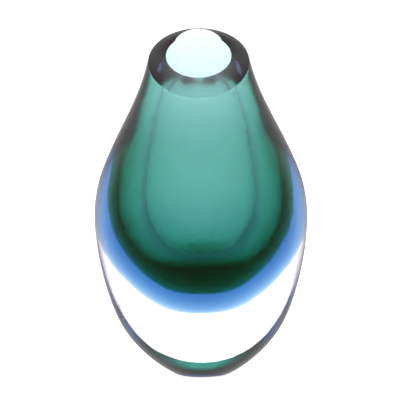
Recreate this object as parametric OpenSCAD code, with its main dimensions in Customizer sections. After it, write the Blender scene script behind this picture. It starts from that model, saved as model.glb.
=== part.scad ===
// Hand blown cased glass vase, solid glass all through and without a moving piece.
// A green inner gather holds the hollow, a blue overlay wraps it, and a thick clear casing
// wraps both and runs on below them as a heavy foot. The mouth is sawn off on a slant and
// polished flat, low at the front. Millimetres, +Z up, -Y to the front, origin at the
// centre of the flat foot. Each outline is a smooth curve drawn along a row of stations.

/* [Outside] */
// Radius of the flat ground foot
foot_radius = 15; // [13:0.1:17]
// Outside radius at the heel, just above the foot
heel_radius = 26.6; // [25:0.1:28]
// Outside radius low on the flank
low_flank_radius = 46; // [44:0.1:48]
// Outside radius high on the flank
high_flank_radius = 56.2; // [54:0.1:59]
// Outside radius below the belly
belly_low_radius = 62.8; // [61:0.1:65]
// Outside radius above the belly
belly_high_radius = 62.2; // [60:0.1:64]
// Outside radius at the shoulder
shoulder_radius = 47.6; // [46:0.1:50]
// Outside radius at the neck
neck_radius = 31.3; // [30:0.1:34]
// Outside radius at the lip
lip_radius = 25; // [24.4:0.1:27]
// Outside radius the blown shape ran on to, above the sawn mouth
overblow_radius = 15; // [14:0.1:20]

/* [Sawn mouth] */
// Height of the sawn mouth on the centre line
mouth_height = 186.5; // [178:0.1:188]
// Slant of the sawn mouth in degrees, down to the front
mouth_slant = 33.5; // [0:0.5:35]

/* [Hollow] */
// Height of the bottom of the hollow above the foot
hollow_floor = 68; // [65:0.5:71]
// Radius of the nearly flat middle of the hollow's bottom
hollow_middle_radius = 17; // [13:0.5:19]
// Radius of the hollow at its rounded bottom
hollow_bottom_radius = 27; // [25:0.1:29]
// Radius of the hollow round its belly
hollow_belly_radius = 33.8; // [31:0.1:35]
// Radius of the hollow above its belly
hollow_waist_radius = 30; // [28:0.1:32]
// Radius of the hollow at the shoulder
hollow_shoulder_radius = 26.3; // [24:0.1:28]
// Radius of the hollow at the neck
hollow_neck_radius = 19.5; // [17:0.1:21]
// Radius of the hollow under the mouth
hollow_throat_radius = 18.9; // [17:0.1:19.5]
// Radius of the hollow at the mouth
hollow_mouth_radius = 18.7; // [17:0.1:19.5]

/* [Green glass] */
// Thickness of green glass under the hollow
green_floor_thickness = 14; // [11:0.5:16]
// Radius of the nearly flat middle of the green glass's bottom
green_middle_radius = 15; // [11:0.5:18]
// Radius of the green glass at its rounded bottom
green_bottom_radius = 32.2; // [31:0.1:34]
// Thickness of green glass round the belly of the hollow
green_belly_thickness = 4.2; // [2.5:0.1:4.8]
// Thickness of green glass at the neck of the hollow
green_neck_thickness = 2.3; // [1:0.1:2.8]
// Thickness of green glass at the mouth
green_mouth_thickness = 0.8; // [0.6:0.1:1]

/* [Blue glass] */
// Thickness of blue glass under the green
blue_floor_thickness = 10; // [7:0.5:12]
// Radius of the nearly flat middle of the blue glass's bottom
blue_middle_radius = 17.5; // [13:0.5:20]
// Radius of the blue glass at its rounded bottom
blue_bottom_radius = 41; // [39:0.1:43]
// Thickness of blue glass round the belly of the green
blue_belly_thickness = 4.1; // [3:0.1:4.8]
// Thickness of blue glass at the neck
blue_neck_thickness = 2.6; // [1:0.1:3]
// Thickness of blue glass at the mouth
blue_mouth_thickness = 1.2; // [0.8:0.1:1.4]

/* [Hidden] */

// Pieces a full turn is cut into, and steps between two stations of an outline
facets = 96;
steps = 4;

// Heights of the outside stations, the last two above the sawn mouth
heel_height = 6;
low_flank_height = 24;
high_flank_height = 50;
belly_low_height = 82;
belly_high_height = 112;
shoulder_height = 142;
neck_height = 172;
lip_height = 206;
overblow_height = 240;

// Heights of the hollow's stations above its bottom, shared by the two colours round it
belly_height = 98;
waist_height = 124;
hollow_shoulder_height = 148;
hollow_neck_height = 168;
throat_height = 188;
hollow_mouth_height = 208;
hollow_end_height = 228;

// Rise from each outline's bottom to its first station up the side
hollow_rise = 11;
green_rise = 22.5;
blue_rise = 31.5;

// Bottoms of the two colours, and the radius the hollow runs on to above the mouth
green_floor = hollow_floor - green_floor_thickness;
blue_floor = green_floor - blue_floor_thickness;
hollow_end_radius = 2 * hollow_mouth_radius - hollow_throat_radius;

// Size of the block of air above the sawn mouth
saw_block = 400;

// Colours of the three glasses
clear_tint = [0.88, 0.93, 0.94, 0.35];
blue_tint = [0.10, 0.33, 0.80, 0.6];
green_tint = [0.10, 0.42, 0.34, 0.8];

// Shares four neighbouring stations have in a point at the part t of the way between the
// middle two, for a smooth curve along evenly weighted stations
function station_shares(t) = [
    pow(1 - t, 3),
    3 * pow(t, 3) - 6 * pow(t, 2) + 4,
    3 * t + 3 * pow(t, 2) - 3 * pow(t, 3) + 1,
    pow(t, 3)
] / 6;

// Point of the curve between the second and third of the four stations from number i on
function curve_point(stations, i, t) =
    station_shares(t) * [stations[i], stations[i + 1], stations[i + 2], stations[i + 3]];

// Outline drawn along a row of stations, each one a radius and a height
function outline(stations) = concat(
    [for (i = [0 : len(stations) - 4], k = [0 : steps - 1])
        curve_point(stations, i, k / steps)],
    [curve_point(stations, len(stations) - 4, 1)]
);

// The same points from the last to the first
function backwards(points) = [for (i = [len(points) - 1 : -1 : 0]) points[i]];

// Thickness of a colour at a height: even up to the waist, thinning evenly from there to
// the neck and from the neck to the mouth
function thickness_at(belly_thickness, neck_thickness, mouth_thickness, height) = lookup(
    height,
    [
        [waist_height, belly_thickness],
        [hollow_neck_height, neck_thickness],
        [hollow_mouth_height, mouth_thickness]
    ]
);

// Stations up the side of the hollow
hollow_side = [
    [hollow_belly_radius, belly_height],
    [hollow_waist_radius, waist_height],
    [hollow_shoulder_radius, hollow_shoulder_height],
    [hollow_neck_radius, hollow_neck_height],
    [hollow_throat_radius, throat_height],
    [hollow_mouth_radius, hollow_mouth_height],
    [hollow_end_radius, hollow_end_height]
];

// Stations up the side of a colour that covers the side inside it
function covered(side, belly_thickness, neck_thickness, mouth_thickness) = [
    for (s = side)
        [s[0] + thickness_at(belly_thickness, neck_thickness, mouth_thickness, s[1]), s[1]]
];

green_side = covered(
    hollow_side, green_belly_thickness, green_neck_thickness, green_mouth_thickness
);
blue_side = covered(
    green_side, blue_belly_thickness, blue_neck_thickness, blue_mouth_thickness
);

// Stations of a rounded bottom, the first one across the centre line so that the curve
// leaves the centre level
function rounded_bottom(floor_height, middle_radius, bottom_radius, rise) = [
    [-middle_radius, floor_height],
    [0, floor_height],
    [middle_radius, floor_height],
    [bottom_radius, floor_height + rise]
];

hollow_outline = outline(concat(
    rounded_bottom(hollow_floor, hollow_middle_radius, hollow_bottom_radius, hollow_rise),
    hollow_side
));
green_outline = outline(concat(
    rounded_bottom(green_floor, green_middle_radius, green_bottom_radius, green_rise),
    green_side
));
blue_outline = outline(concat(
    rounded_bottom(blue_floor, blue_middle_radius, blue_bottom_radius, blue_rise),
    blue_side
));

// The outside curve starts at the sharp edge of the ground foot
outside_outline = outline([
    [foot_radius, 0],
    [foot_radius, 0],
    [foot_radius, 0],
    [heel_radius, heel_height],
    [low_flank_radius, low_flank_height],
    [high_flank_radius, high_flank_height],
    [belly_low_radius, belly_low_height],
    [belly_high_radius, belly_high_height],
    [shoulder_radius, shoulder_height],
    [neck_radius, neck_height],
    [lip_radius, lip_height],
    [overblow_radius, overblow_height]
]);

// Glass turned between two outlines and sawn off at the slant of the mouth
module sawn_glass(outer_points, inner_points) {
    difference() {
        rotate_extrude($fn = facets)
            polygon(concat(outer_points, backwards(inner_points)));
        translate([0, 0, mouth_height])
            rotate([mouth_slant, 0, 0])
                translate([-saw_block / 2, -saw_block / 2, 0])
                    cube(saw_block);
    }
}

// Clear glass outside both colours, with the heavy foot below them
module clear_casing() {
    color(clear_tint)
        sawn_glass(concat([[0, 0]], outside_outline), blue_outline);
}

// Blue glass between the clear casing and the green core
module blue_overlay() {
    color(blue_tint)
        sawn_glass(blue_outline, green_outline);
}

// Green glass round the hollow
module green_core() {
    color(green_tint)
        sawn_glass(green_outline, hollow_outline);
}

clear_casing();
blue_overlay();
green_core();
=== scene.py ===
"""Hand blown cased glass vase: clear casing, blue overlay and green core round one hollow.

The clear casing is modelled as the whole body of glass, from the outside skin over the sawn
mouth and down the hollow, so that light bends only where glass meets air. The two colours are
closed bodies of tinted glass inside it and bend nothing. Lengths are metres.
"""

import logging
import math
from collections.abc import Iterable, Sequence
from dataclasses import dataclass, field
from enum import Enum
from itertools import pairwise

import bpy
from mathutils import Matrix, Vector


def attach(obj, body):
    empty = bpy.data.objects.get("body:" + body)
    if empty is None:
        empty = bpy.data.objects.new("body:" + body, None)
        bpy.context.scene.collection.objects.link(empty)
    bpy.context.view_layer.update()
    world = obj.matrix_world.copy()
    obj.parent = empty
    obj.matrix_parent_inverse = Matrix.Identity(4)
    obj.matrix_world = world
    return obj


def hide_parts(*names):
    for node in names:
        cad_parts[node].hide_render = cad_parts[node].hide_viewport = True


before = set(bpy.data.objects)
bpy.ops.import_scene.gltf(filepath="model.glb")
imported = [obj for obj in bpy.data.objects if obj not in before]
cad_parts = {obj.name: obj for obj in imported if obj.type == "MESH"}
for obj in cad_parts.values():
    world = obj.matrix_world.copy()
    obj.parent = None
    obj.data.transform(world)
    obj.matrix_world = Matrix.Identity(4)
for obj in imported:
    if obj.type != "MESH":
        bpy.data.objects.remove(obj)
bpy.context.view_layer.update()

LOG = logging.getLogger("vase")
BODY = "root"
MM = 0.001
SHARP_EDGE = math.radians(35.0)
SAME_POINT = 0.002 * MM

Point = tuple[float, float]
Span = tuple[float, float]
Colour = tuple[float, float, float]

WHITE: Colour = (1.0, 1.0, 1.0)
NOISE_DETAIL = 2.0
NOISE_ROUGHNESS = 0.45
STREAK_EDGES: Span = (0.35, 0.7)
SCUFFS_PER_METRE = 900.0
CURVE_SPAN = 4


# ---------------------------------------------------------------- outlines


def station_shares(t: float) -> tuple[float, float, float, float]:
    """Weigh four neighbouring stations for a point between the middle two.

    Args:
        t: How far the point is from the second station to the third, 0 to 1.

    Returns:
        The four shares, which add up to one.
    """
    return (
        (1 - t) ** 3 / 6,
        (3 * t**3 - 6 * t**2 + 4) / 6,
        (3 * t + 3 * t**2 - 3 * t**3 + 1) / 6,
        t**3 / 6,
    )


def smooth_outline(stations: Sequence[Point], steps: int) -> list[Point]:
    """Draw the smooth curve that a row of stations pulls along.

    Args:
        stations: Radius and height of each station.
        steps: Points of the curve for each pair of stations.

    Returns:
        Radius and height of each point of the curve.
    """
    points: list[Point] = []
    last = len(stations) - CURVE_SPAN
    for first in range(last + 1):
        four = stations[first : first + CURVE_SPAN]
        for step in range(steps + (first == last)):
            shares = station_shares(step / steps)
            radius = sum(share * station[0] for share, station in zip(shares, four))
            height = sum(share * station[1] for share, station in zip(shares, four))
            points.append((max(radius, 0.0), height))
    return points


def moved_out(points: Sequence[Point], distance: float) -> list[Point]:
    """Move an outline outwards, at right angles to itself.

    Args:
        points: Outline from its lowest point on the centre line upwards.
        distance: How far to move it, away from the hollow.

    Returns:
        The moved outline, still starting on the centre line.
    """
    moved: list[Point] = []
    for number, (radius, height) in enumerate(points):
        before = points[max(number - 1, 0)]
        after = points[min(number + 1, len(points) - 1)]
        along = Vector((after[0] - before[0], after[1] - before[1])).normalized()
        out = radius + distance * along.y if number else 0.0
        moved.append((out, height - distance * along.x))
    return moved


@dataclass
class VaseForm:
    """Driving sizes of the vase and the outlines drawn from them, in millimetres.

    Attributes:
        foot_radius: Radius of the flat ground foot.
        foot_edge: Height up to which the foot's edge is eased.
        foot_ease: Share of that height taken by the first step of the easing.
        foot_rings: Rings across the foot, as shares of its radius.
        outside: Stations of the outer skin above the foot.
        mouth_height: Height of the sawn mouth on the centre line.
        mouth_slant: Degrees that the mouth leans to the front.
        hollow_floor: Height of the hollow's floor.
        hollow_bottom: Stations of the hollow's bottom, with heights above its floor.
        hollow_side: Stations up the hollow's side.
        green_floor: Height of the green glass's underside.
        green_bottom: Stations of its bottom, with heights above the underside.
        green_layer: Thickness of the green at the belly, the neck and the lip.
        blue_floor: Height of the blue glass's underside.
        blue_bottom: Stations of its bottom, with heights above the underside.
        blue_layer: Thickness of the blue at the belly, the neck and the lip.
        layer_heights: Heights of the belly, the neck and the lip.
        steps: Points of an outline for each station.
    """

    foot_radius: float = 15.0
    foot_edge: float = 0.5
    foot_ease: float = 0.3
    foot_rings: tuple[float, ...] = (0.0, 0.25, 0.5, 0.75)
    outside: tuple[Point, ...] = (
        (26.6, 6.0),
        (46.0, 24.0),
        (56.2, 50.0),
        (62.8, 82.0),
        (62.2, 112.0),
        (47.6, 142.0),
        (31.3, 172.0),
        (25.0, 206.0),
        (15.0, 240.0),
    )
    mouth_height: float = 186.5
    mouth_slant: float = 33.5
    hollow_floor: float = 68.0
    hollow_bottom: tuple[Point, ...] = ((17.0, 0.0), (27.0, 11.0))
    hollow_side: tuple[Point, ...] = (
        (33.8, 98.0),
        (30.0, 124.0),
        (26.3, 148.0),
        (19.5, 168.0),
        (18.9, 188.0),
        (18.7, 208.0),
        (18.5, 228.0),
    )
    green_floor: float = 54.0
    green_bottom: tuple[Point, ...] = ((15.0, 0.0), (32.2, 22.5))
    green_layer: tuple[float, float, float] = (4.2, 2.3, 0.8)
    blue_floor: float = 44.0
    blue_bottom: tuple[Point, ...] = ((17.5, 0.0), (41.0, 31.5))
    blue_layer: tuple[float, float, float] = (4.1, 2.6, 1.2)
    layer_heights: tuple[float, float, float] = (124.0, 168.0, 208.0)
    steps: int = 12

    def thickness(self, layer: tuple[float, float, float], height: float) -> float:
        """Give the thickness of a colour at a height.

        Args:
            layer: Thickness of the colour at the belly, the neck and the lip.
            height: Height above the foot.

        Returns:
            The thickness there, thinning evenly between the three heights.
        """
        belly, neck, lip = self.layer_heights
        to_neck = min(max((height - belly) / (neck - belly), 0.0), 1.0)
        to_lip = min(max((height - neck) / (lip - neck), 0.0), 1.0)
        return layer[0] + (layer[1] - layer[0]) * to_neck + (layer[2] - layer[1]) * to_lip

    def covered(
        self, side: Iterable[Point], layer: tuple[float, float, float]
    ) -> tuple[Point, ...]:
        """Move the stations of a side out by the colour that covers it.

        Args:
            side: Stations of the side inside the colour.
            layer: Thickness of the colour at the belly, the neck and the lip.

        Returns:
            Stations of the colour's own outer side.
        """
        return tuple((r + self.thickness(layer, z), z) for r, z in side)

    def cup(self, floor: float, bottom: Sequence[Point], side: Sequence[Point]) -> list[Point]:
        """Draw the outline of a cup with a rounded bottom, in metres.

        Args:
            floor: Height of the bottom's middle.
            bottom: Stations of the bottom, with heights above the floor.
            side: Stations up the side.

        Returns:
            The outline, from the centre line up past the mouth.
        """
        middle = bottom[0][0]
        stations = [(-middle, floor), (0.0, floor)]
        stations += [(radius, floor + rise) for radius, rise in bottom]
        stations += list(side)
        return [(r * MM, z * MM) for r, z in smooth_outline(stations, self.steps)]

    def hollow(self) -> list[Point]:
        """Draw the wall of the hollow."""
        return self.cup(self.hollow_floor, self.hollow_bottom, self.hollow_side)

    def green(self) -> list[Point]:
        """Draw the outside of the green glass."""
        side = self.covered(self.hollow_side, self.green_layer)
        return self.cup(self.green_floor, self.green_bottom, side)

    def blue(self) -> list[Point]:
        """Draw the outside of the blue glass."""
        side = self.covered(self.hollow_side, self.green_layer)
        side = self.covered(side, self.blue_layer)
        return self.cup(self.blue_floor, self.blue_bottom, side)

    def skin(self) -> list[Point]:
        """Draw the outside of the vase, from the middle of the foot up past the mouth."""
        foot = (self.foot_radius, 0.0)
        curve = smooth_outline([foot, foot, foot, *self.outside], self.steps)
        kept = [point for point in curve if point[1] > self.foot_edge]
        eased = self.foot_ease * self.foot_edge
        rounded = [(self.foot_radius - self.foot_edge, 0.0), (self.foot_radius - eased, eased)]
        middle = [(self.foot_radius * share, 0.0) for share in self.foot_rings]
        return [(r * MM, z * MM) for r, z in (*middle, *rounded, *kept)]

    def mouth_point(self, sunk: float = 0.0) -> Vector:
        """Give the point of the mouth's plane on the centre line.

        Args:
            sunk: How far below the mouth the plane is moved, in metres.

        Returns:
            The point, in metres.
        """
        return Vector((0.0, 0.0, self.mouth_height * MM - sunk))

    def mouth_normal(self) -> Vector:
        """Give the upward normal of the mouth's plane, which leans to the front."""
        slant = math.radians(self.mouth_slant)
        return Vector((0.0, -math.sin(slant), math.cos(slant)))


# ---------------------------------------------------------------- edit-mode tools


def clear_selection() -> None:
    """Leave edit mode and deselect every object."""
    if bpy.context.object and bpy.context.object.mode != "OBJECT":
        bpy.ops.object.mode_set(mode="OBJECT")
    bpy.ops.object.select_all(action="DESELECT")


def turn(name: str, outline: Sequence[Point], facets: int) -> bpy.types.Object:
    """Draw an outline as a chain of edges and spin it into a body of glass.

    Args:
        name: Name of the new object.
        outline: Radius and height of each point, in metres.
        facets: Pieces the full turn is cut into.

    Returns:
        The new object, in edit mode with all of it selected.
    """
    clear_selection()
    bpy.ops.mesh.primitive_plane_add(size=MM)
    piece = bpy.context.object
    piece.name = piece.data.name = name
    bpy.ops.object.mode_set(mode="EDIT")
    bpy.ops.mesh.select_all(action="SELECT")
    bpy.ops.mesh.merge(type="CENTER")
    bpy.ops.transform.translate(value=(outline[0][0], 0.0, outline[0][1]))
    for before, after in pairwise(outline):
        step = (after[0] - before[0], 0.0, after[1] - before[1])
        bpy.ops.mesh.extrude_region_move(TRANSFORM_OT_translate={"value": step})
    bpy.ops.mesh.select_all(action="SELECT")
    bpy.ops.mesh.spin(steps=facets, angle=math.tau, center=(0, 0, 0), axis=(0, 0, 1))
    bpy.ops.mesh.select_all(action="SELECT")
    bpy.ops.mesh.remove_doubles(threshold=SAME_POINT)
    bpy.ops.mesh.normals_make_consistent(inside=False)
    return piece


def saw_mouth(point: Vector, normal: Vector) -> None:
    """Saw the body in edit mode off at a plane and close the cut with a flat ring.

    Args:
        point: A point of the plane.
        normal: Normal of the plane, towards the side that is thrown away.
    """
    bpy.ops.mesh.select_all(action="SELECT")
    bpy.ops.mesh.bisect(plane_co=point, plane_no=normal, clear_outer=True)
    bpy.ops.mesh.bridge_edge_loops()


def finish_piece(piece: bpy.types.Object, node: str) -> None:
    """Shade a piece, let it ride on the body and stand for its CAD node.

    Args:
        piece: The piece, which may still be in edit mode.
        node: CAD node that the piece replaces.
    """
    clear_selection()
    piece.select_set(True)
    bpy.context.view_layer.objects.active = piece
    bpy.ops.object.shade_smooth_by_angle(angle=SHARP_EDGE)
    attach(piece, BODY)
    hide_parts(node)
    clear_selection()


# ---------------------------------------------------------------- finishes


class Surface(Enum):
    """The four kinds of surface on the clear casing, in slot order."""

    SKIN = 0
    HOLLOW = 1
    MOUTH = 2
    FOOT = 3


def new_group(name: str, inputs: Sequence[str], output: str) -> bpy.types.NodeTree:
    """Start a shader node group with number sockets.

    Args:
        name: Name of the group.
        inputs: Names of its inputs.
        output: Name of its output.

    Returns:
        The group, with its input and output nodes in place.
    """
    group = bpy.data.node_groups.new(name, "ShaderNodeTree")
    for label in inputs:
        group.interface.new_socket(label, in_out="INPUT", socket_type="NodeSocketFloat")
    group.interface.new_socket(output, in_out="OUTPUT", socket_type="NodeSocketFloat")
    group.nodes.new("NodeGroupInput")
    group.nodes.new("NodeGroupOutput")
    return group


def drawn_noise(group: bpy.types.NodeTree, across: str, along: str) -> bpy.types.Node:
    """Add a noise that is drawn out up the vase, as blown glass is.

    Args:
        group: The group the noise is added to.
        across: Input that says how many marks lie side by side in a metre.
        along: Input that says how many marks follow each other up a metre.

    Returns:
        The noise node.
    """
    nodes, links = group.nodes, group.links
    given = nodes["Group Input"]
    place = nodes.new("ShaderNodeTexCoord")
    split = nodes.new("ShaderNodeSeparateXYZ")
    drawn = nodes.new("ShaderNodeCombineXYZ")
    links.new(place.outputs["Object"], split.inputs[0])
    for axis, amount in (("X", across), ("Y", across), ("Z", along)):
        part = nodes.new("ShaderNodeMath")
        part.operation = "MULTIPLY"
        links.new(split.outputs[axis], part.inputs[0])
        links.new(given.outputs[amount], part.inputs[1])
        links.new(part.outputs[0], drawn.inputs[axis])
    noise = nodes.new("ShaderNodeTexNoise")
    noise.inputs["Scale"].default_value = 1.0
    noise.inputs["Detail"].default_value = NOISE_DETAIL
    noise.inputs["Roughness"].default_value = NOISE_ROUGHNESS
    links.new(drawn.outputs[0], noise.inputs["Vector"])
    return noise


def ripple_group() -> bpy.types.NodeTree:
    """Make the soft waves that hand work leaves in a glass surface."""
    group = new_group("hand_worked_ripple", ("Across", "Along"), "Height")
    noise = drawn_noise(group, "Across", "Along")
    group.links.new(noise.outputs["Fac"], group.nodes["Group Output"].inputs["Height"])
    return group


def streak_group() -> bpy.types.NodeTree:
    """Make the faint upright streaks of colour that was gathered and drawn out."""
    group = new_group("drawn_streaks", ("Across", "Along", "Contrast"), "Streak")
    noise = drawn_noise(group, "Across", "Along")
    spread = group.nodes.new("ShaderNodeMapRange")
    spread.interpolation_type = "SMOOTHSTEP"
    spread.inputs["From Min"].default_value = STREAK_EDGES[0]
    spread.inputs["From Max"].default_value = STREAK_EDGES[1]
    group.links.new(noise.outputs["Fac"], spread.inputs["Value"])
    group.links.new(group.nodes["Group Input"].outputs["Contrast"], spread.inputs["To Max"])
    group.links.new(spread.outputs["Result"], group.nodes["Group Output"].inputs["Streak"])
    return group


def ground_ring_group() -> bpy.types.NodeTree:
    """Make the mask of the fine scuffs on the ring that a vase stands on."""
    group = new_group("standing_ring", ("Radius", "Width"), "Wear")
    nodes, links = group.nodes, group.links
    given = nodes["Group Input"]
    place = nodes.new("ShaderNodeTexCoord")
    flat = nodes.new("ShaderNodeVectorMath")
    flat.operation = "MULTIPLY"
    flat.inputs[1].default_value = (1.0, 1.0, 0.0)
    out = nodes.new("ShaderNodeVectorMath")
    out.operation = "LENGTH"
    inner = nodes.new("ShaderNodeMath")
    inner.operation = "SUBTRACT"
    ring = nodes.new("ShaderNodeMapRange")
    scuff = nodes.new("ShaderNodeTexNoise")
    scuff.inputs["Scale"].default_value = SCUFFS_PER_METRE
    worn = nodes.new("ShaderNodeMath")
    worn.operation = "MULTIPLY"
    links.new(place.outputs["Object"], flat.inputs[0])
    links.new(flat.outputs[0], out.inputs[0])
    links.new(given.outputs["Radius"], inner.inputs[0])
    links.new(given.outputs["Width"], inner.inputs[1])
    links.new(out.outputs["Value"], ring.inputs["Value"])
    links.new(inner.outputs[0], ring.inputs["From Min"])
    links.new(given.outputs["Radius"], ring.inputs["From Max"])
    links.new(place.outputs["Object"], scuff.inputs["Vector"])
    links.new(ring.outputs["Result"], worn.inputs[0])
    links.new(scuff.outputs["Fac"], worn.inputs[1])
    links.new(worn.outputs[0], nodes["Group Output"].inputs["Wear"])
    return group


@dataclass
class GlassEffects:
    """The node groups that several kinds of glass share, made once."""

    ripple: bpy.types.NodeTree = field(default_factory=ripple_group)
    streaks: bpy.types.NodeTree = field(default_factory=streak_group)
    standing_ring: bpy.types.NodeTree = field(default_factory=ground_ring_group)


def place_group(
    material: bpy.types.Material, group: bpy.types.NodeTree, values: dict[str, float]
) -> bpy.types.Node:
    """Put a node group into a material with its own values.

    Args:
        material: The material.
        group: The group to place.
        values: Value of each of the group's inputs.

    Returns:
        The placed node.
    """
    node = material.node_tree.nodes.new("ShaderNodeGroup")
    node.node_tree = group
    for name, value in values.items():
        node.inputs[name].default_value = value
    return node


@dataclass(frozen=True)
class ClearFinish:
    """Surface of clear glass where it meets air.

    Attributes:
        name: Name of the material.
        wave_across: Waves side by side in a metre.
        wave_along: Waves one above another in a metre.
        wave_depth: Depth of the waves, in metres.
        roughness: How matt the polish is.
        worn: Whether the surface has the scuffs of the ring it stands on.
        ring_width: Width of that ring, in metres.
        ior: Refractive index of the glass.
    """

    name: str
    wave_across: float
    wave_along: float
    wave_depth: float
    roughness: float = 0.0
    worn: bool = False
    ring_width: float = 4.0 * MM
    ior: float = 1.5

    def material(self, effects: GlassEffects, form: VaseForm) -> bpy.types.Material:
        """Build the glass with its surface ripple, and its wear where it stands.

        Args:
            effects: Shared node groups.
            form: The vase's sizes.

        Returns:
            The material.
        """
        material = bpy.data.materials.new(self.name)
        material.use_nodes = True
        nodes, links = material.node_tree.nodes, material.node_tree.links
        shader = nodes["Principled BSDF"]
        shader.inputs["Base Color"].default_value = (*WHITE, 1.0)
        shader.inputs["Roughness"].default_value = self.roughness
        shader.inputs["IOR"].default_value = self.ior
        shader.inputs["Transmission Weight"].default_value = 1.0
        waves = {"Across": self.wave_across, "Along": self.wave_along}
        ripple = place_group(material, effects.ripple, waves)
        bump = nodes.new("ShaderNodeBump")
        bump.inputs["Strength"].default_value = 1.0
        bump.inputs["Distance"].default_value = self.wave_depth
        links.new(ripple.outputs["Height"], bump.inputs["Height"])
        links.new(bump.outputs["Normal"], shader.inputs["Normal"])
        if self.worn:
            ring = {"Radius": form.foot_radius * MM, "Width": self.ring_width}
            wear = place_group(material, effects.standing_ring, ring)
            links.new(wear.outputs["Wear"], shader.inputs["Roughness"])
        return material


@dataclass(frozen=True)
class TintFinish:
    """Coloured glass that tints what passes through and bends nothing.

    Attributes:
        name: Name of the material.
        absorbed: Red, green and blue taken away in a metre of the glass.
        streak_tint: Tint of the streaks.
        contrast: How strong the streaks are.
        high_tint: Tint that the glass turns to up the vase.
        low: Height where that change starts, in metres.
        high: Height where it ends, in metres.
        streaks_across: Streaks side by side in a metre.
        streaks_along: Streaks one above another in a metre.
    """

    name: str
    absorbed: Colour
    streak_tint: Colour
    contrast: float
    high_tint: Colour = WHITE
    low: float = 60.0 * MM
    high: float = 150.0 * MM
    streaks_across: float = 190.0
    streaks_along: float = 7.0

    def material(self, effects: GlassEffects) -> bpy.types.Material:
        """Build the tinted glass, with its change of hue up the vase and its streaks.

        Args:
            effects: Shared node groups.

        Returns:
            The material.
        """
        material = bpy.data.materials.new(self.name)
        material.use_nodes = True
        nodes, links = material.node_tree.nodes, material.node_tree.links
        shader = nodes["Principled BSDF"]
        shader.inputs["Roughness"].default_value = 0.0
        shader.inputs["IOR"].default_value = 1.0
        shader.inputs["Transmission Weight"].default_value = 1.0
        place = nodes.new("ShaderNodeTexCoord")
        split = nodes.new("ShaderNodeSeparateXYZ")
        rise = nodes.new("ShaderNodeMapRange")
        rise.inputs["From Min"].default_value = self.low
        rise.inputs["From Max"].default_value = self.high
        hue = nodes.new("ShaderNodeMixRGB")
        hue.inputs["Color1"].default_value = (*WHITE, 1.0)
        hue.inputs["Color2"].default_value = (*self.high_tint, 1.0)
        marks = {
            "Across": self.streaks_across,
            "Along": self.streaks_along,
            "Contrast": self.contrast,
        }
        streaks = place_group(material, effects.streaks, marks)
        drawn = nodes.new("ShaderNodeMixRGB")
        drawn.inputs["Color2"].default_value = (*self.streak_tint, 1.0)
        links.new(place.outputs["Object"], split.inputs[0])
        links.new(split.outputs["Z"], rise.inputs["Value"])
        links.new(rise.outputs["Result"], hue.inputs["Fac"])
        links.new(hue.outputs[0], drawn.inputs["Color1"])
        links.new(streaks.outputs["Streak"], drawn.inputs["Fac"])
        links.new(drawn.outputs[0], shader.inputs["Base Color"])
        tint = nodes.new("ShaderNodeVolumeAbsorption")
        density = max(self.absorbed)
        tint.inputs["Density"].default_value = density
        passed = [1.0 - part / density for part in self.absorbed]
        tint.inputs["Color"].default_value = (*passed, 1.0)
        links.new(tint.outputs["Volume"], nodes["Material Output"].inputs["Volume"])
        return material


# ---------------------------------------------------------------- sub-assemblies


@dataclass
class ColourLayer:
    """One colour: a closed body of tinted glass just inside the clear one.

    Attributes:
        name: Name of the piece.
        node: CAD node that it replaces.
        slot: Material slot of the record. Not used.
        finish: Its coloured glass.
        facets: Pieces the full turn is cut into.
        clearance: Gap to the body inside it, so that no two faces coincide, in metres.
        sunk: How far it is sawn off below the mouth, in metres.
    """

    name: str
    node: str
    slot: str
    finish: TintFinish
    facets: int = 96
    clearance: float = 0.04 * MM
    sunk: float = 0.06 * MM

    def build(
        self, form: VaseForm, effects: GlassEffects, outer: list[Point], inner: list[Point]
    ) -> bpy.types.Object:
        """Turn the layer between two outlines and saw it off just under the mouth.

        Args:
            form: The vase's sizes.
            effects: Shared node groups.
            outer: Outline of the layer's outside.
            inner: Outline of what lies inside the layer.

        Returns:
            The finished piece.
        """
        inside = moved_out(inner, self.clearance)
        piece = turn(self.name, [*outer, *reversed(inside)], self.facets)
        saw_mouth(form.mouth_point(self.sunk), form.mouth_normal())
        finish_piece(piece, self.node)
        piece.data.materials.append(self.finish.material(effects))
        return piece


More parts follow.
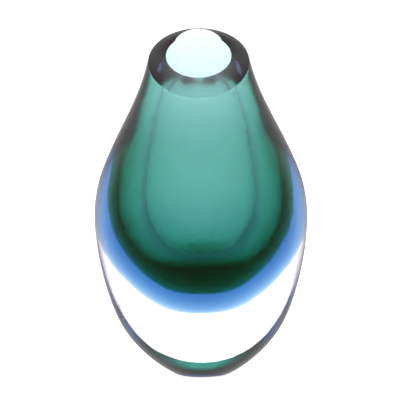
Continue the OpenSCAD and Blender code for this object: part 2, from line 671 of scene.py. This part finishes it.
@dataclass
class ClearCasing:
    """The whole body of glass where it meets air: skin, mouth, hollow and foot.

    Attributes:
        name: Name of the piece.
        node: CAD node that it replaces.
        slot: Material slot of the record. Not used.
        facets: Pieces the full turn is cut into.
        edge: Width of the eased edges of the mouth, in metres.
        first_ease: Share of that width taken by the first step of the easing.
        level: How well a face lines up with the mouth's plane to belong to it.
        flat: How far up a face points to belong to the hollow's floor.
        foot_top: Height under which a face belongs to the foot, in metres.
        floor_margin: How far under the hollow's floor its faces may start, in metres.
        finishes: Finish of each kind of surface.
    """

    name: str = "clear_glass_body"
    node: str = "clear_casing"
    slot: str = "clear_glass"
    facets: int = 192
    edge: float = 0.15 * MM
    first_ease: float = 0.3
    level: float = 0.99
    flat: float = 0.9
    foot_top: float = 0.01 * MM
    floor_margin: float = 1.0 * MM
    finishes: dict[Surface, ClearFinish] = field(
        default_factory=lambda: {
            Surface.SKIN: ClearFinish("clear_glass_skin", 60.0, 22.0, 0.16 * MM),
            Surface.HOLLOW: ClearFinish("clear_glass_hollow", 120.0, 12.0, 0.2 * MM, 0.2),
            Surface.MOUTH: ClearFinish("clear_glass_mouth", 300.0, 300.0, 0.004 * MM),
            Surface.FOOT: ClearFinish("clear_glass_foot", 80.0, 80.0, 0.03 * MM, worn=True),
        }
    )

    def build(self, form: VaseForm, effects: GlassEffects) -> bpy.types.Object:
        """Turn the body, saw and ease the mouth and give each surface its finish.

        Args:
            form: The vase's sizes.
            effects: Shared node groups.

        Returns:
            The finished piece.
        """
        piece = turn(self.name, [*form.skin(), *reversed(form.hollow())], self.facets)
        saw_mouth(form.mouth_point(self.edge), form.mouth_normal())
        self.ease_mouth()
        finish_piece(piece, self.node)
        self.dress(piece, form, effects)
        return piece

    def ease_mouth(self) -> None:
        """Round the two edges of the mouth in two narrow steps, up to its full height."""
        less = self.first_ease * self.edge
        more = (1.0 - self.first_ease) * self.edge
        bpy.ops.mesh.inset(thickness=less, depth=more)
        bpy.ops.mesh.inset(thickness=more, depth=less)

    def surface_of(self, face: bpy.types.MeshPolygon, form: VaseForm) -> Surface:
        """Tell which surface of the casing a face is on.

        Args:
            face: A face of the casing.
            form: The vase's sizes.

        Returns:
            The surface.
        """
        normal = form.mouth_normal()
        under_mouth = (form.mouth_point() - face.center).dot(normal)
        if face.normal.dot(normal) > self.level and under_mouth < self.edge:
            return Surface.MOUTH
        if face.center.z < self.foot_top:
            return Surface.FOOT
        outwards = Vector((face.center.x, face.center.y, 0.0))
        turned_in = face.normal.dot(outwards) < 0.0 or face.normal.z > self.flat
        if turned_in and face.center.z > form.hollow_floor * MM - self.floor_margin:
            return Surface.HOLLOW
        return Surface.SKIN

    def dress(self, piece: bpy.types.Object, form: VaseForm, effects: GlassEffects) -> None:
        """Give every face the finish of the surface it is on.

        Args:
            piece: The casing.
            form: The vase's sizes.
            effects: Shared node groups.
        """
        for surface in Surface:
            piece.data.materials.append(self.finishes[surface].material(effects, form))
        for face in piece.data.polygons:
            face.material_index = self.surface_of(face, form).value


# ---------------------------------------------------------------- studio


def add_ramp(
    tree: bpy.types.NodeTree, value: bpy.types.NodeSocket, where: Span, levels: Span
) -> bpy.types.NodeSocket:
    """Add a smooth change of brightness along one direction of the room.

    Args:
        tree: The world's node tree.
        value: How far a direction points that way, -1 to 1.
        where: Where the change starts and ends.
        levels: The brightness before it and after it.

    Returns:
        The brightness.
    """
    change = tree.nodes.new("ShaderNodeMapRange")
    change.interpolation_type = "SMOOTHSTEP"
    change.inputs["From Min"].default_value = where[0]
    change.inputs["From Max"].default_value = where[1]
    change.inputs["To Min"].default_value = levels[0]
    change.inputs["To Max"].default_value = levels[1]
    tree.links.new(value, change.inputs["Value"])
    return change.outputs["Result"]


def add_sum(
    tree: bpy.types.NodeTree,
    operation: str,
    first: bpy.types.NodeSocket,
    second: bpy.types.NodeSocket,
) -> bpy.types.NodeSocket:
    """Add, subtract or multiply two values.

    Args:
        tree: The world's node tree.
        operation: Name of the sum, such as ADD or MULTIPLY.
        first: The first value.
        second: The second value.

    Returns:
        The result.
    """
    node = tree.nodes.new("ShaderNodeMath")
    node.operation = operation
    tree.links.new(first, node.inputs[0])
    tree.links.new(second, node.inputs[1])
    return node.outputs[0]


@dataclass
class Studio:
    """White floor and bright background, a dimmer room on the viewer's side, the camera.

    A span says how far a direction points backwards or upwards, -1 to 1, where a change of
    light starts and where it ends.

    Attributes:
        floor_size: Width of the floor, in metres.
        floor_white: How white the floor is.
        floor_glow: Light that the floor gives.
        background: Brightness of the background behind the vase.
        front: Light from the viewer's side.
        sides: Light from the sides.
        room_span: Change from the front to the sides.
        behind: Light added by the screen behind the vase.
        screen_span: Change from the sides to the screen.
        overhead: Light from above, as a multiple.
        overhead_span: Change towards the top.
        underneath: Light from below, as a multiple.
        underneath_span: Change away from the bottom.
        filtered: Share left of the light mirrored by the outside of the glass.
        room_tint: Tint of the room on the viewer's side.
        tint_span: Change from that tint to white.
        bounces: Times that light may bounce or pass through glass.
        elevation: Degrees that the camera looks down.
        distance: Distance from the camera to the point it looks at, in metres.
        lens: Focal length, in millimetres.
        sensor: Width of the sensor, in millimetres.
        clip: Nearest and farthest distance seen, in metres.
        roll: Degrees that the camera is turned about its line of sight.
        aim: Point that the camera looks at.
    """

    floor_size: float = 12.0
    floor_white: float = 0.9
    floor_glow: float = 0.75
    background: float = 1.2
    front: float = 0.35
    sides: float = 0.75
    room_span: Span = (-0.8, 0.2)
    behind: float = 0.85
    screen_span: Span = (0.15, 0.6)
    overhead: float = 1.8
    overhead_span: Span = (0.2, 0.8)
    underneath: float = 1.05
    underneath_span: Span = (-0.9, -0.3)
    filtered: float = 0.35
    room_tint: Colour = (1.0, 0.74, 0.92)
    tint_span: Span = (0.1, 0.6)
    bounces: int = 24
    elevation: float = 3.2
    distance: float = 1.1
    lens: float = 169.4
    sensor: float = 36.0
    clip: Span = (0.05, 50.0)
    roll: float = -0.82
    aim: tuple[float, float, float] = (-0.0004, 0.0, 0.1021)

    def build_floor(self) -> None:
        """Lay a wide white floor under the vase, with light of its own like a light table."""
        clear_selection()
        bpy.ops.mesh.primitive_plane_add(size=self.floor_size)
        floor = bpy.context.object
        floor.name = floor.data.name = "floor"
        material = bpy.data.materials.new("white_floor")
        material.use_nodes = True
        shader = material.node_tree.nodes["Principled BSDF"]
        shader.inputs["Base Color"].default_value = (*[self.floor_white] * 3, 1.0)
        shader.inputs["Roughness"].default_value = 1.0
        shader.inputs["Specular IOR Level"].default_value = 0.0
        shader.inputs["Emission Color"].default_value = (*WHITE, 1.0)
        shader.inputs["Emission Strength"].default_value = self.floor_glow
        floor.data.materials.append(material)
        floor.visible_transmission = False
        floor.visible_glossy = False
        clear_selection()

    def room_light(
        self, tree: bpy.types.NodeTree, back: bpy.types.NodeSocket, up: bpy.types.NodeSocket
    ) -> bpy.types.NodeSocket:
        """Light the room: bright behind and above, dim in front.

        Args:
            tree: The world's node tree.
            back: How far a direction points away from the viewer.
            up: How far it points upwards.

        Returns:
            The brightness of the room in each direction.
        """
        room = add_ramp(tree, back, self.room_span, (self.front, self.sides))
        screen = add_ramp(tree, back, self.screen_span, (0.0, self.behind))
        above = add_ramp(tree, up, self.overhead_span, (1.0, self.overhead))
        below = add_ramp(tree, up, self.underneath_span, (self.underneath, 1.0))
        light = add_sum(tree, "ADD", room, screen)
        light = add_sum(tree, "MULTIPLY", light, above)
        return add_sum(tree, "MULTIPLY", light, below)

    def room_colour(
        self, tree: bpy.types.NodeTree, back: bpy.types.NodeSocket
    ) -> bpy.types.NodeSocket:
        """Tint the room on the viewer's side and leave the screen behind the vase white.

        Args:
            tree: The world's node tree.
            back: How far a direction points away from the viewer.

        Returns:
            The colour of the room in each direction.
        """
        colour = tree.nodes.new("ShaderNodeMix")
        colour.data_type = "RGBA"
        colour.inputs["A"].default_value = (*self.room_tint, 1.0)
        colour.inputs["B"].default_value = (*WHITE, 1.0)
        screen = add_ramp(tree, back, self.tint_span, (0.0, 1.0))
        tree.links.new(screen, colour.inputs["Factor"])
        return colour.outputs["Result"]

    def filter_glare(
        self,
        tree: bpy.types.NodeTree,
        light: bpy.types.NodeSocket,
        path: bpy.types.Node,
    ) -> bpy.types.NodeSocket:
        """Hold down what the outside of the glass mirrors, as a polarising filter does.

        Args:
            tree: The world's node tree.
            light: The brightness of the room.
            path: Tells how the light reached the room.

        Returns:
            The brightness after the filter.
        """
        glossy, passed = path.outputs["Is Glossy Ray"], path.outputs["Is Transmission Ray"]
        share = tree.nodes.new("ShaderNodeMapRange")
        share.inputs["To Min"].default_value = 1.0
        share.inputs["To Max"].default_value = self.filtered
        mirrored = add_sum(tree, "SUBTRACT", glossy, passed)
        tree.links.new(mirrored, share.inputs["Value"])
        return add_sum(tree, "MULTIPLY", light, share.outputs["Result"])

    def build_light(self) -> None:
        """Surround the vase with soft light, and a plain background for the camera."""
        world = bpy.data.worlds.new("studio")
        bpy.context.scene.world = world
        world.use_nodes = True
        tree = world.node_tree
        place = tree.nodes.new("ShaderNodeTexCoord")
        split = tree.nodes.new("ShaderNodeSeparateXYZ")
        tree.links.new(place.outputs["Generated"], split.inputs[0])
        back, up = split.outputs["Y"], split.outputs["Z"]
        path = tree.nodes.new("ShaderNodeLightPath")
        light = self.filter_glare(tree, self.room_light(tree, back, up), path)
        seen = tree.nodes.new("ShaderNodeMix")
        seen.data_type = "FLOAT"
        seen.inputs["B"].default_value = self.background
        tree.links.new(path.outputs["Is Camera Ray"], seen.inputs["Factor"])
        tree.links.new(light, seen.inputs["A"])
        background = tree.nodes["Background"]
        tree.links.new(seen.outputs["Result"], background.inputs["Strength"])
        tree.links.new(self.room_colour(tree, back), background.inputs["Color"])
        scene = bpy.context.scene
        scene.view_settings.view_transform = "Standard"
        scene.cycles.max_bounces = self.bounces
        scene.cycles.transmission_bounces = self.bounces
        scene.cycles.transparent_max_bounces = self.bounces

    def build_camera(self) -> None:
        """Place the camera in front, looking a few degrees down at the middle of the vase."""
        camera = bpy.data.objects.new("camera", bpy.data.cameras.new("camera"))
        bpy.context.scene.collection.objects.link(camera)
        rise = math.radians(self.elevation)
        back = Vector((0.0, -math.cos(rise), math.sin(rise)))
        camera.location = Vector(self.aim) + back * self.distance
        turned = (-back).to_track_quat("-Z", "Y").to_matrix().to_4x4()
        turned = turned @ Matrix.Rotation(math.radians(self.roll), 4, "Z")
        camera.rotation_euler = turned.to_euler()
        camera.data.lens = self.lens
        camera.data.sensor_width = self.sensor
        camera.data.clip_start = self.clip[0]
        camera.data.clip_end = self.clip[1]
        bpy.context.scene.camera = camera


def main() -> None:
    """Build the vase and the studio, and report each piece."""
    logging.basicConfig(level=logging.INFO, format="%(name)s: %(message)s")
    form = VaseForm()
    effects = GlassEffects()
    green = TintFinish(
        "green_glass",
        absorbed=(212.0, 81.0, 124.0),
        streak_tint=(0.93, 0.97, 0.96),
        contrast=0.6,
    )
    blue = TintFinish(
        "blue_glass",
        absorbed=(74.0, 44.0, 21.0),
        high_tint=(0.98, 0.94, 0.97),
        streak_tint=(0.97, 0.96, 1.0),
        contrast=0.5,
    )
    overlay = ColourLayer("blue_glass_overlay", "blue_overlay", "blue_glass", blue)
    core = ColourLayer("green_glass_core", "green_core", "green_glass", green)
    pieces = [
        ClearCasing().build(form, effects),
        overlay.build(form, effects, form.blue(), form.green()),
        core.build(form, effects, form.green(), form.hollow()),
    ]
    for piece in pieces:
        LOG.info("%s: %d faces", piece.name, len(piece.data.polygons))
    studio = Studio()
    studio.build_floor()
    studio.build_light()
    studio.build_camera()


if __name__ == "__main__":
    main()
